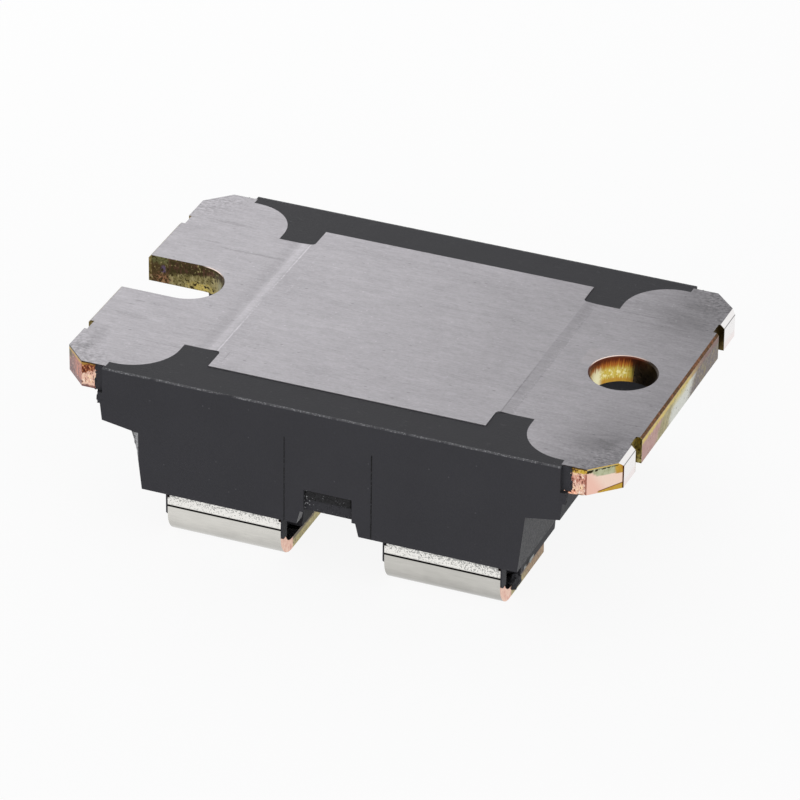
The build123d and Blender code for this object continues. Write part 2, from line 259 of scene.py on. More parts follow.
def make_floor(whiteness):
    bpy.ops.object.select_all(action="DESELECT")
    bpy.ops.mesh.primitive_plane_add(size=3.0, location=(0, 0, 0))
    floor = bpy.context.object
    floor.name = "floor"
    material, w = new_material("floor")
    body = w.put("BsdfPrincipled", {"Base Color": (0.9, 0.9, 0.9), "Roughness": 0.8})
    white = w.put("Emission", {"Color": (1, 1, 1), "Strength": 1.0})
    share = w.times(seen_directly(w), whiteness)
    mixed = w.put("MixShader", {0: share, 1: body.outputs[0], 2: white.outputs[0]})
    w.links.new(mixed.outputs[0], w.put("OutputMaterial").inputs[0])
    floor.data.materials.append(material)


scene.view_settings.view_transform = "Standard"
make_world(dim_light=0.46)
make_floor(whiteness=0.9)
print("white stage ready")

# %% [markdown]
# Four soft lamps do the rest. A large one above and behind gives the plate its even light, a card in
# front lights the long side, and one low at the right brightens the faces that look along +X. The
# fourth is a small window close behind the left end: the satin plate mirrors it there and less and
# less towards the right, which is why the real plate darkens from left to right.

# %% Lamps
def add_lamp(name, place, aim, size, power):
    """Place, aim and size in metres, power in watts."""
    data = bpy.data.lights.new(name, "AREA")
    data.shape = "RECTANGLE"
    data.size, data.size_y = size
    data.energy = power
    lamp = bpy.data.objects.new(name, data)
    scene.collection.objects.link(lamp)
    lamp.location = place
    lamp.rotation_euler = (Vector(aim) - Vector(place)).to_track_quat("-Z", "Y").to_euler()
    lamp.visible_camera = False
    print(name, "gives", power, "W")


middle = (0, 0, 0.006)
left_end = (-0.012, 0, 0.012)
add_lamp("top_softbox", (-0.10, 0.10, 0.45), middle, size=(0.5, 0.3), power=0.25)
add_lamp("front_card", (0.05, -0.45, 0.20), middle, size=(0.5, 0.3), power=0.92)
add_lamp("right_card", (0.42, -0.12, 0.12), middle, size=(0.3, 0.2), power=0.4)
add_lamp("left_window", (-0.085, 0.10, 0.075), left_end, size=(0.11, 0.09), power=0.045)

# %% [markdown]
# Several finishes share the same small effects: fine lines from brushing or rolling, scattered specks,
# slow mottling, and the rainbow of colours that heat draws on copper. Each is built once as a node
# group with named sockets, and every material places it with its own values. Painting them into
# pictures would also work, but a pattern made of nodes stays sharp at any distance.

# %% Groups for fine lines, specks and mottling
SOCKET_KINDS = {"Place": "NodeSocketVector", "Color": "NodeSocketColor"}


def new_group(name, inputs, outputs):
    """A node group. Its Place is a vector, its Color a colour, and every other socket a number."""
    tree = bpy.data.node_groups.new(name, "ShaderNodeTree")
    for direction, labels in (("INPUT", inputs), ("OUTPUT", outputs)):
        for label in labels.split():
            kind = SOCKET_KINDS.get(label, "NodeSocketFloat")
            tree.interface.new_socket(name=label, in_out=direction, socket_type=kind)
    given, out = tree.nodes.new("NodeGroupInput").outputs, tree.nodes.new("NodeGroupOutput").inputs
    return tree, Wiring(tree), given, out


def use_group(wiring, tree, **values):
    return wiring.put("Group", values, node_tree=tree).outputs


def make_fine_lines():
    """Lines along X: Lengthwise and Crosswise say how many changes come in one millimetre."""
    tree, w, given, out = new_group("fine_lines", "Place Lengthwise Crosswise", "Lines Streaks")
    across = given["Crosswise"]
    scale = w.put("CombineXYZ", {0: given["Lengthwise"], 1: across, 2: across}).outputs[0]
    along = w.put("VectorMath", {0: given["Place"], 1: scale}, operation="MULTIPLY").outputs[0]
    w.feed(out["Lines"], w.noise(along, 1.0, 3.0, 0.65))
    w.feed(out["Streaks"], w.noise(along, 0.22, 2.0, 0.55))
    return tree


def make_specks():
    """Small round dots: PerMM cells in one millimetre, Size from 0 to 1, Share of cells that hold one."""
    tree, w, given, out = new_group("specks", "Place PerMM Size Share", "Mask")
    cells = w.put("TexVoronoi", {"Vector": given["Place"], "Scale": given["PerMM"]})
    chance = w.put("SeparateColor", {0: cells.outputs["Color"]}).outputs[0]
    chosen = w.calc("LESS_THAN", chance, given["Share"])
    inside = w.minus(1.0, w.calc("DIVIDE", cells.outputs["Distance"], given["Size"]))
    w.feed(out["Mask"], w.both(chosen, w.rise(inside, 0.0, 0.5)))
    return tree


def make_mottle():
    """Slow clouds, Wide millimetres across, and a rough grain on top of them."""
    tree, w, given, out = new_group("mottle", "Place Wide Grain", "Clouds Grit")
    w.feed(out["Clouds"], w.noise(given["Place"], w.calc("DIVIDE", 1.0, given["Wide"]), 3.0, 0.55))
    w.feed(out["Grit"], w.noise(given["Place"], given["Grain"], 4.0, 0.7))
    return tree


fine_lines, specks, mottle = make_fine_lines(), make_specks(), make_mottle()


def scatter(wiring, place, per_mm, size, share):
    """The mask of some specks."""
    return use_group(wiring, specks, Place=place, PerMM=per_mm, Size=size, Share=share)["Mask"]


print("groups:", fine_lines.name, specks.name, mottle.name)

# %% [markdown]
# Where the copper was sheared after plating, its cut faces were bare when the part went through the
# soldering furnace. Heat grew an oxide film on them, and the film's thickness gives the colour: pale
# copper, salmon, red-brown, gold, yellow, straw, olive, brown, purple and at last a silvery green. So
# one number, the film, gives each colour its natural neighbours, and torn metal shifts it up and down.

# %% Torn metal and the heat colours of bare copper
# Each stage has its film, from 0 to 1, and the colour that the film gives.
FILM = {
    "pale": (0.0, (0.90, 0.64, 0.50)), "salmon": (0.14, (0.68, 0.33, 0.25)),
    "red": (0.27, (0.20, 0.045, 0.025)), "gold": (0.38, (0.50, 0.25, 0.04)),
    "yellow": (0.48, (0.64, 0.48, 0.07)), "straw": (0.57, (0.34, 0.29, 0.11)),
    "olive": (0.67, (0.14, 0.105, 0.035)), "brown": (0.79, (0.050, 0.030, 0.014)),
    "purple": (0.90, (0.15, 0.10, 0.15)), "silver": (1.0, (0.50, 0.52, 0.36)),
}


def make_torn_metal():
    """Uneven: upright streaks with patches. Ragged: for the edges of masks. Grain: for glints and pits."""
    tree, w, given, out = new_group("torn_metal", "Place", "Uneven Ragged Grain Roughness Height")
    streaks = w.noise(w.stretch(given["Place"], 7.0, 7.0, 2.2), 1.0, 4.0, 0.7)
    patches = w.noise(given["Place"], 2.3, 3.0, 0.6)
    w.feed(out["Uneven"], w.add(streaks, 0.6, w.times(patches, 0.4)))
    w.feed(out["Ragged"], w.noise(w.stretch(given["Place"], 4.6, 4.6, 3.4), 1.0, 4.0, 0.68))
    w.feed(out["Grain"], w.noise(w.stretch(given["Place"], 6.0, 6.0, 4.6), 1.0, 2.0, 0.6))
    w.feed(out["Roughness"], w.add(patches, 0.25, 0.2))
    w.feed(out["Height"], streaks)
    return tree


def make_heat_colours():
    """The colour of a Film, which torn metal moves by up to half the Spread."""
    tree, w, given, out = new_group("heat_colours", "Film Uneven Spread", "Color")
    moved = w.vary(given["Uneven"], given["Spread"], given["Film"])
    w.feed(out["Color"], w.ramp(moved, FILM.values()))
    return tree


torn_metal, heat_colours = make_torn_metal(), make_heat_colours()


class Heat:
    """Mixes the heat colours of one material from its torn metal."""
    def __init__(self, wiring, torn):
        self.wiring = wiring
        self.uneven, self.ragged, self.grain = torn["Uneven"], torn["Ragged"], torn["Grain"]

    def stage(self, name, spread=0.16, shift=0.0):
        """The colour of a stage, with its film a little thicker or thinner."""
        film = FILM[name][0] + shift
        return use_group(self.wiring, heat_colours, Film=film, Uneven=self.uneven, Spread=spread)["Color"]

    def frayed(self, value, reach):
        """A coordinate whose limits come out ragged by up to half the reach."""
        return self.wiring.vary(self.ragged, reach, value)

    def speckled(self, colour, pits, pit_colour, glints, glint_colour):
        """Small pits and glints over a colour; their numbers say how many there are, from 0 to 1."""
        coat = Coat(self.wiring, colour)
        dark_below = 0.30 + 0.2 * pits
        coat.where(self.wiring.fall(self.grain, dark_below, 0.36 + 0.2 * pits), show=pit_colour)
        bright_above = 0.66 - 0.2 * glints
        coat.where(self.wiring.rise(self.grain, bright_above, 0.72 - 0.2 * glints), show=glint_colour)
        return coat.colour


print("film stages:", ", ".join(FILM))

# %% [markdown]
# The mounting plate is stamped copper with a satin nickel coat, brushed lengthwise. Its flat top needs
# short fine lines, slow clouds, tiny bright and dark specks, darker scuffed corners, a right end drawn
# darker as painted shade, and the painted light beside the raised middle pad: a painted highlight as a
# bright band and a thin line at the left bevel, and at the right one a painted shade line and a dotted
# painted highlight. All of it is one material with its cut faces, because it is one piece of metal,
# so masks made of position and of the face's direction say where each finish lies.

# %% Marks, painted highlights and painted shade on the plate's top
def smudge(w, across, along, centre, reach, ragged):
    """A soft patch round a centre, in millimetres, with a ragged outline."""
    dx = w.calc("DIVIDE", w.minus(across, centre[0]), reach[0])
    dy = w.calc("DIVIDE", w.minus(along, centre[1]), reach[1])
    distance = w.calc("SQRT", w.add(dx, dx, w.times(dy, dy)))
    return w.fall(w.vary(ragged, 1.8, distance), 0.35, 1.15)


def light_and_shade_beside_pad(w, tone, place, x, y, far_y, clouds, grit):
    """The tone with the lines and bands along the left and the right edge of the pad: painted highlights
    and painted shade, and a faint lighter line.
    """
    # Painted highlight: a bright band and a thin bright line at the left bevel.
    left_bevel_highlight = w.span(x, -10.30, -9.86, 0.10)
    tone = w.add(w.both(left_bevel_highlight, w.plus(grit, 0.25)), 0.17, tone)
    left_bevel_highlight_line = w.both(w.span(x, -9.76, -9.66, 0.03),
                       w.rise(w.plus(grit, w.times(far_y, 0.05)), 0.50, 0.80))
    tone = w.add(left_bevel_highlight_line, 0.34, tone)
    left_shadow = w.span(x, -11.2, -10.5, 0.35)
    tone = w.add(w.both(left_shadow, w.plus(clouds, 0.1)), -0.15, tone)
    wobbly_x = w.vary(grit, 0.12, x)
    # Painted shade: a dark line at the right bevel, then a painted shadow band and a dotted painted
    # highlight.
    right_bevel_shade_line = w.both(w.span(wobbly_x, 9.70, 9.77, 0.03),
                    w.fall(w.plus(y, w.times(grit, 6.0)), -1.0, 3.0))
    tone = w.add(right_bevel_shade_line, -0.26, tone)
    right_shadow = w.both(w.span(wobbly_x, 9.85, 10.15, 0.2), w.rise(y, -3.0, 3.0))
    tone = w.add(right_shadow, -0.05, tone)
    right_bevel_dotted_highlight = w.both(w.span(wobbly_x, 10.25, 10.55, 0.08),
                    w.rise(w.noise(place, 6.0, 3.0, 0.7), 0.52, 0.66))
    tone = w.add(right_bevel_dotted_highlight, 0.20, tone)
    ghost_line = w.both(w.span(wobbly_x, -8.72, -8.58, 0.05), w.rise(grit, 0.45, 0.6))
    return w.add(ghost_line, 0.08, tone)


def plate_top_tone(w, place, x, y):
    """How light the nickel is, as a factor, with the lines and the coarse grain used for it."""
    brushed = use_group(w, fine_lines, Place=place, Lengthwise=1.25, Crosswise=8.5)
    worn = use_group(w, mottle, Place=place, Wide=4.0, Grain=5.5)
    lines, streaks, clouds, grit = brushed["Lines"], brushed["Streaks"], worn["Clouds"], worn["Grit"]
    far_y = w.size(y)
    tone = 1.0
    for pattern, share in ((lines, 0.52), (streaks, 0.22), (clouds, 0.24), (grit, 0.42)):
        tone = w.vary(pattern, share, tone)
    dots = scatter(w, place, per_mm=3.4, size=0.30, share=0.07)
    tone = w.add(dots, 0.20, tone)
    pits = scatter(w, w.stretch(place, 0.35, 1.0, 1.0), per_mm=4.1, size=0.22, share=0.07)
    tone = w.add(pits, -0.32, tone)
    # Painted shade: darker towards the right end, where the plate mirrors less of the left window; the
    # right corners are drawn darker still.
    right_corners = w.both(w.rise(x, 12.5, 16.5), w.rise(far_y, 3.5, 9.5), 0.17)
    tone = w.minus(tone, w.add(w.rise(x, 12.0, 19.0), 0.10, right_corners))
    scuffed = w.rise(w.plus(w.size(x), w.times(far_y, 0.8)), 23.2, 27.0)
    coarse = w.noise(w.stretch(place, 3.4, 5.2, 3.0), 1.0, 3.0, 0.75)
    tone = w.add(w.both(scuffed, w.minus(coarse, 0.53)), 1.9, tone)
    tone = w.add(w.both(w.rise(y, 8.0, 9.6), w.span(x, -9.5, 6.0, 1.5), clouds), 0.10, tone)
    return light_and_shade_beside_pad(w, tone, place, x, y, far_y, clouds, grit), lines, grit


# %% Stains and scratches on the plate's top
# Each stain has its centre's x and y, its half length and half width, and how much darker it is.
PLATE_STAINS = [
    (14.6, 8.6, 3.2, 0.8, 0.12), (16.6, 7.6, 2.2, 0.8, 0.14), (13.2, 10.6, 2.5, 0.4, 0.10),
    (16.8, 9.9, 1.6, 0.6, 0.16), (15.2, 6.6, 3.0, 0.12, 0.12), (13.6, 7.5, 2.4, 0.10, 0.14),
    (16.2, -9.0, 1.8, 1.2, 0.12), (13.8, -10.6, 1.6, 0.6, 0.10), (17.4, -8.4, 0.9, 1.6, 0.16),
    (-17.6, -8.9, 0.6, 1.9, 0.16), (-17.9, -10.4, 0.8, 0.5, 0.20), (-15.6, 8.4, 1.8, 0.22, 0.16),
    (-12.6, 5.1, 2.6, 0.13, 0.20), (-16.2, 5.6, 1.6, 0.10, 0.18), (-16.6, -5.6, 1.4, 0.4, 0.10),
    (-13.9, -8.2, 2.4, 0.10, 0.12), (6.4, -4.6, 2.4, 0.7, 0.05), (-2.4, -7.6, 2.2, 0.6, 0.06),
    (-5.6, -8.9, 1.4, 0.16, 0.10), (3.0, 3.4, 3.4, 0.12, 0.06), (9.0, 0.4, 0.8, 0.07, 0.20),
    (-8.9, -8.0, 0.05, 0.9, 0.20), (-17.0, -3.6, 0.5, 0.07, 0.25), (-17.4, -4.2, 0.4, 0.06, 0.25),
]


def plate_stains(w, x, y, ragged):
    darker = 0.0
    for cx, cy, rx, ry, strength in PLATE_STAINS:
        darker = w.add(smudge(w, x, y, (cx, cy), (rx, ry), ragged), strength, darker)
    return w.minus(1.0, darker)


print(len(PLATE_STAINS), "stains")

# %% [markdown]
# The sheared faces are told apart by where they lie: the wall of the open slot, the wall of the round
# hole, the two ends, the small notches beside them, the bevelled corners and the short sides next to
# the moulding. In each the punch left a burnished band at the top and a torn, brighter band below. The
# colours are laid down face by face, as one would brush them on, each with frayed limits.

# %% Colours of the slot and of the hole
HOLE_X, HOLE_RADIUS = 15.1, 2.15


def slot_colours(w, heat, x, z):
    low_z = heat.frayed(z, 0.8)
    dark = w.paint((0.050, 0.038, 0.016), w.rise(heat.uneven, 0.47, 0.58), (0.090, 0.046, 0.030))
    torn = w.paint((0.17, 0.14, 0.055), w.rise(heat.uneven, 0.44, 0.58), (0.36, 0.31, 0.15))
    below_burnish = w.fall(w.add(x, -0.14, low_z), 13.26, 13.58)
    on_torn = w.both(below_burnish, w.rise(heat.frayed(x, 0.7), -17.75, -17.35))
    coat = Coat(w, w.paint(dark, on_torn, torn))
    # Painted highlight: gold glints low on the right part of the slot wall.
    gold_highlight = smudge(w, x, z, (-15.2, 10.45), (1.2, 0.40), heat.ragged)
    coat.where(gold_highlight, w.rise(heat.grain, 0.38, 0.56), 0.85, show=(0.60, 0.46, 0.12))
    coat.where(w.rise(x, -14.0, -13.5), w.fall(low_z, 11.3, 11.7), 0.8, show=(0.40, 0.41, 0.29))
    mouth = w.fall(heat.frayed(x, 0.9), -17.75, -17.45)
    in_mouth = w.paint((0.070, 0.046, 0.020), w.rise(low_z, 11.5, 11.8), (0.115, 0.110, 0.045))
    coat.where(mouth, show=in_mouth)
    violet = smudge(w, x, z, (-17.95, 11.25), (0.24, 0.34), heat.ragged)
    coat.where(violet, 0.7, show=(0.12, 0.085, 0.17))
    rust = smudge(w, x, z, (-18.0, 10.55), (0.7, 0.42), heat.ragged)
    coat.where(rust, w.rise(heat.grain, 0.42, 0.55), show=(0.28, 0.14, 0.075))
    return heat.speckled(coat.colour, 0.36, (0.040, 0.028, 0.012), 0.26, (0.28, 0.235, 0.105))


def hole_colours(w, heat, x, y, z):
    around = w.times(w.calc("ARCTAN2", y, w.minus(x, HOLE_X)), HOLE_RADIUS)
    values = {"W": w.add(z, 0.7, w.times(around, 6.0)), "Scale": 1.6, "Detail": 3.0, "Roughness": 0.6}
    drips = w.put("TexNoise", values, noise_dimensions="1D").outputs["Fac"]
    hanging = w.vary(drips, 1.0, z)
    lit = w.fall(w.vary(drips, 0.5, x), 14.85, 15.1)
    yellow = w.paint(heat.stage("yellow", 0.2, 0.01), w.rise(drips, 0.50, 0.70), (0.76, 0.64, 0.22))
    coat = Coat(w, yellow)
    coat.where(w.fall(drips, 0.34, 0.46), 0.7, show=heat.stage("gold", 0.1, 0.05))
    low_middle = w.both(w.fall(x, 14.5, 14.9), w.span(hanging, 10.5, 11.1, 0.2))
    coat.where(low_middle, w.rise(heat.grain, 0.46, 0.62), show=(0.86, 0.78, 0.40))
    coat.where(w.fall(w.vary(drips, 0.5, z), 10.42, 10.6), show=heat.stage("gold", 0.12, 0.02))
    coat.where(w.rise(hanging, 11.12, 11.5), show=(0.42, 0.13, 0.025))
    coat.where(w.rise(hanging, 11.45, 11.85), show=(0.13, 0.028, 0.012))
    pale_end = w.both(w.fall(x, 13.1, 13.3), w.fall(hanging, 11.3, 11.5))
    coat.where(pale_end, 0.85, show=(0.85, 0.82, 0.55))
    shade = heat.speckled((0.095, 0.072, 0.046), 0.4, (0.045, 0.034, 0.022), 0.3, (0.15, 0.10, 0.06))
    red_shade = w.both(w.fall(x, 15.2, 16.6), w.rise(hanging, 11.1, 11.8))
    shade = w.paint(shade, red_shade, (0.11, 0.035, 0.022))
    coat.colour = w.paint(shade, lit, coat.colour)
    rim = w.paint((0.10, 0.028, 0.015), w.rise(x, 15.4, 16.2), (0.030, 0.022, 0.016))
    coat.where(w.rise(z, 11.90, 11.94), show=rim)
    return coat.colour


# %% Colours of the two ends
def end_colours(w, heat, x, y, z):
    slant_y = w.add(w.minus(z, 11.0), -0.9, heat.frayed(y, 2.0))
    purple, in_patches = heat.stage("purple", 0.3, -0.07), w.rise(heat.uneven, 0.47, 0.62)
    coat = Coat(w, w.paint(purple, in_patches, heat.stage("olive", 0.3, -0.06)))
    coat.where(w.fall(slant_y, 1.5, 2.9), show=(0.60, 0.61, 0.55))
    coat.where(w.fall(slant_y, 0.0, 2.0), w.rise(z, 11.0, 11.4), show=(0.55, 0.50, 0.25))
    coat.where(w.fall(slant_y, -2.2, -1.2), show=heat.stage("straw", 0.35, 0.02))
    front_corner = w.fall(slant_y, -4.3, -3.4)
    coat.where(front_corner, show=w.paint((0.50, 0.27, 0.23), heat.uneven, (0.34, 0.18, 0.16)))
    coat.colour = heat.speckled(coat.colour, 0.02, (0.16, 0.10, 0.08), 0.0, (0.6, 0.5, 0.4))
    burnished = w.rise(heat.frayed(z, 0.5), 11.42, 11.58)
    gold, towards_back = heat.stage("gold", 0.7, 0.10), w.rise(heat.frayed(y, 3.0), 0.5, 4.5)
    coat.where(burnished, show=w.paint(gold, towards_back, (0.14, 0.055, 0.04)))
    edge = w.paint((0.085, 0.045, 0.018), w.rise(heat.uneven, 0.45, 0.6), (0.22, 0.09, 0.04))
    coat.where(w.rise(heat.frayed(z, 0.1), 11.82, 11.88), show=edge)
    notch = w.span(w.size(y), 7.15, 8.35, 0.03)
    yellow, pits = heat.stage("yellow", 0.6, 0.10), (0.085, 0.055, 0.02)
    in_notch = heat.speckled(yellow, 0.5, pits, 0.2, (0.50, 0.38, 0.12))
    in_notch = w.paint(in_notch, w.rise(y, 0, 1), heat.stage("brown", 0.4, -0.06))
    coat.where(notch, show=in_notch)
    left_end = w.fall(x, -1, 1)
    olive, pits = heat.stage("olive", 0.5), (0.04, 0.02, 0.015)
    coat.where(left_end, show=heat.speckled(olive, 0.3, pits, 0.2, (0.45, 0.30, 0.2)))
    return coat.colour


# %% Colours of the bevelled corners
def right_bevel_colours(w, heat, x, z):
    """The bevelled corner at the right: pale copper between a silvery wedge and a gold one."""
    pale = w.paint((0.90, 0.69, 0.58), w.fall(w.add(z, 0.5, x), 22.9, 23.6), (0.88, 0.56, 0.46))
    coat = Coat(w, pale)
    wedge_start = w.add(w.minus(z, 11.6), 0.9, heat.frayed(x, 0.5))
    wedge = w.both(w.rise(heat.frayed(z, 0.1), 11.36, 11.46), w.rise(wedge_start, 17.35, 17.7))
    silvery = w.paint((0.50, 0.52, 0.35), w.rise(heat.uneven, 0.45, 0.6), (0.36, 0.38, 0.22))
    coat.where(wedge, show=silvery)
    gold = w.both(w.rise(heat.frayed(x, 0.15), 18.5, 18.66), w.rise(z, 11.30, 11.38))
    coat.where(gold, show=heat.stage("gold", 0.3, 0.02))
    chips = w.both(w.rise(w.add(x, -0.12, heat.frayed(z, 0.25)), 9.66, 9.70), w.fall(z, 11.93, 11.96))
    coat.where(chips, w.rise(heat.ragged, 0.40, 0.48), show=(0.035, 0.028, 0.012))
    coat.where(w.rise(z, 11.96, 11.99), show=(0.62, 0.42, 0.10))
    low_edge = w.add(x, -0.26, z)
    low = w.both(w.fall(low_edge, 5.70, 5.76), w.rise(x, 17.7, 17.8))
    low_gold, above_edge = heat.stage("gold", 0.2, 0.04), w.rise(low_edge, 5.64, 5.70)
    coat.where(low, show=w.paint(low_gold, above_edge, (0.16, 0.05, 0.02)))
    coat.where(w.rise(x, 18.90, 18.95), show=(0.085, 0.03, 0.012))
    return coat.colour


def left_bevel_colours(w, heat, x, z):
    """The bevelled corner at the left: purple-grey outside, salmon inside, gold along the top."""
    inside = w.rise(heat.frayed(x, 1.6), -18.3, -17.6)
    coat = Coat(w, w.paint((0.27, 0.14, 0.125), inside, (0.58, 0.21, 0.14)))
    coat.where(w.rise(heat.uneven, 0.46, 0.60), 0.85, show=(0.24, 0.125, 0.125))
    coat.where(w.fall(heat.uneven, 0.36, 0.46), 0.6, show=(0.72, 0.34, 0.22))
    coat.where(w.fall(heat.frayed(z, 0.5), 10.45, 10.75), 0.8, show=(0.22, 0.125, 0.125))
    coat.colour = heat.speckled(coat.colour, 0.25, (0.12, 0.06, 0.06), 0.15, (0.80, 0.50, 0.40))
    olive = w.both(w.fall(heat.frayed(x, 0.4), -18.6, -18.3), w.rise(heat.frayed(z, 0.5), 11.2, 11.5))
    coat.where(olive, show=heat.stage("olive", 0.2))
    coat.where(w.span(heat.frayed(z, 0.16), 11.78, 11.90, 0.04), show=heat.stage("gold", 0.3, 0.06))
    coat.where(w.rise(z, 11.93, 11.97), show=(0.05, 0.035, 0.018))
    return coat.colour


# %% Colours of the short sides
def side_colours(w, heat, x, z):
    """The short sides between the bevels and the moulding: torn copper under a burnished band."""
    on_right, on_left = w.rise(x, 0, 1), w.fall(x, -1, 0)
    pale, in_tears = heat.stage("pale", 0.5, 0.05), w.rise(heat.ragged, 0.52, 0.62)
    torn = w.paint(pale, in_tears, (0.98, 0.70, 0.45))
    salmon_band = w.both(on_right, w.span(heat.frayed(z, 0.6), 10.95, 11.55, 0.1))
    torn = w.paint(torn, salmon_band, heat.stage("salmon", 0.45, 0.02))
    torn = heat.speckled(torn, 0.34, (0.15, 0.05, 0.032), 0.35, (0.96, 0.80, 0.66))
    rim = w.fall(heat.frayed(z, 0.4), 10.28, 10.42)
    torn = w.paint(torn, w.both(rim, on_left), (0.22, 0.11, 0.10))
    red_band = w.both(w.rise(w.add(x, -0.35, heat.frayed(z, 1.2)), 17.05, 17.2), on_left)
    red = heat.speckled((0.20, 0.055, 0.030), 0.4, (0.06, 0.018, 0.012), 0.55, (0.66, 0.30, 0.14))
    torn = w.paint(torn, red_band, red)
    band_low = w.lay(11.62, on_left, 11.78)
    on_band = w.rise(w.minus(heat.frayed(z, 0.5), band_low), 0.0, 0.12)
    gold, pits = heat.stage("gold", 0.4, 0.05), (0.13, 0.065, 0.025)
    band = heat.speckled(gold, 0.62, pits, 0.3, (0.88, 0.68, 0.32))
    band = w.paint(band, w.both(on_left, 0.65), (0.30, 0.13, 0.045))
    coat = Coat(w, w.paint(torn, on_band, band))
    coat.where(w.rise(heat.frayed(z, 0.1), 11.92, 11.98), show=(0.06, 0.035, 0.015))
    by_corner = w.rise(heat.frayed(w.size(x), 0.6), 17.0, 17.1)
    coat.where(by_corner, w.fall(z, 11.6, 11.8), on_right, 0.85, show=(0.30, 0.10, 0.07))
    return coat.colour


# %% [markdown]
# Now the plate's finish is put together: the nickel top, then each cut face over it, the glints on the
# rims, and the polished tab at the right end. This is a long web. Cycles keeps only so many values at
# once and draws a finish black when it runs out of room, so each mask is made right before the coat
# that uses it, and the faces are painted one after the other.

# %% Nickel plate finish
def finish_plate():
    material, w = new_material("nickel_plate")
    place, x, y, z = place_on_piece(w)
    facing = facing_of(w)
    far_x, far_y = w.size(x), w.size(y)
    tone, lines, grit = plate_top_tone(w, place, x, y)
    frayed = w.add(lines, 0.6, w.times(grit, 0.4))
    nickel = w.shade((0.231, 0.2225, 0.2355), w.times(tone, plate_stains(w, x, y, frayed)))
    torn = use_group(w, torn_metal, Place=place)
    heat = Heat(w, torn)
    bare = end_colours(w, heat, x, y, z)
    on_sides = w.rise(far_y, 11.9, 12.0)
    on_bevels = w.rise(w.plus(far_x, far_y), 29.15, 29.2)
    left_bevel, to_right = left_bevel_colours(w, heat, x, z), w.rise(x, 0, 1)
    bevel = w.paint(left_bevel, to_right, right_bevel_colours(w, heat, x, z))
    bare = w.paint(bare, on_sides, side_colours(w, heat, x, z))
    bare = w.paint(bare, w.both(on_bevels, w.rise(far_x, 17.19, 17.22)), bevel)
    narrow = w.fall(far_y, 2.33, 2.4)
    in_slot = w.both(narrow, w.span(x, -18.8, -12.0, 0.04))
    bare = w.paint(bare, in_slot, slot_colours(w, heat, x, z))
    in_hole = w.both(narrow, w.span(x, 12.0, 18.0))
    bare = w.paint(bare, in_hole, hole_colours(w, heat, x, y, z))
    steep = w.size(facing[2])
    cut = w.both(w.fall(steep, 0.80, 0.92), w.fall(z, 12.046, 12.054))
    coat = Coat(w, w.paint(nickel, cut, bare))
    rim = w.both(w.span(steep, 0.62, 0.92, 0.1), narrow, w.rise(z, 12.005, 12.015))
    lit_arc = w.fall(w.add(y, -0.5, x), 14.2, 15.4)
    hole_glint = w.both(rim, lit_arc, w.span(y, 0.2, 2.3, 0.5), w.rise(x, 12.0, 12.1))
    slot_glint = w.both(rim, w.span(x, -14.9, -13.5, 0.3), w.rise(y, 0.4, 0.9))
    coat.where(w.either(hole_glint, slot_glint), show=(0.90, 0.74, 0.66))
    on_tab = w.both(w.rise(x, 18.4, 18.5), w.rise(far_y, 8.33, 8.36),
                    w.rise(facing[0], 0.45, 0.6), w.fall(w.size(facing[1]), 0.3, 0.5))
    low_on_tab = w.both(w.fall(heat.frayed(z, 0.3), 10.5, 10.9), 0.6)
    tab = w.paint((0.86, 0.84, 0.835), low_on_tab, (0.85, 0.72, 0.70))
    tab = w.paint(tab, w.both(w.span(z, 11.76, 11.80, 0.02), 0.9), (0.05, 0.05, 0.05))
    coat.where(on_tab, show=tab)
    rough = w.lay(w.lay(0.42, cut, torn["Roughness"]), on_tab, 0.14)
    height = w.lay(w.add(grit, 0.5, lines), cut, w.times(torn["Height"], 3.0))
    close(w, coat.colour, rough, 1.0, w.bump(height, 0.004))
    return material


finishes = {"nickel_plate": finish_plate()}
print("plate finish:", len(finishes["nickel_plate"].node_tree.nodes), "nodes")


# %% [markdown]
# The body is a matt charcoal moulding compound. Straight from the mould it is very even, so most of it
# needs only a fine grain. What gives it away as real is at its edges: a speckled pale line where the
# top front edge was scuffed, partly a painted highlight along that edge, and rougher, paler walls at
# the ends of the towers, where the moulded flash was blasted off; their paleness is partly that coarse
# grain and partly a painted sheen of the light from the right. The gate recess in the middle of each
# long side is torn. Some shade is painted as well: faces that look up, the other faces that look along
# X, the recess and a small pit low on the core are drawn darker.

# %% Moulding finish
def gate_recess_colours(w, coat, recess, crumbs, grit, x, z):
    """The torn recess: a mottled wall darkened as painted shade, a dark broken outline that is a painted
    shadow, and pale crumbs down its left side.
    """
    # Painted shade: the recess wall is drawn darker, and a black broken outline along its top and right
    # edges is a painted shadow.
    coat.where(recess, w.rise(z, 5.35, 5.6), show=w.shade((0.022, 0.022, 0.023), w.times(grit, 2.0)))
    upper, right = w.rise(w.add(grit, 0.2, z), 6.24, 6.36), w.rise(w.add(grit, 0.2, x), 1.50, 1.62)
    coat.where(recess, w.either(upper, right), show=(0.004, 0.004, 0.004))
    few = w.both(w.rise(grit, 0.5, 0.6), 0.35)
    left_side = w.both(recess, w.lay(few, w.fall(x, -1.40, -1.25), 1.0), crumbs)
    coat.where(left_side, show=(0.30, 0.30, 0.31))


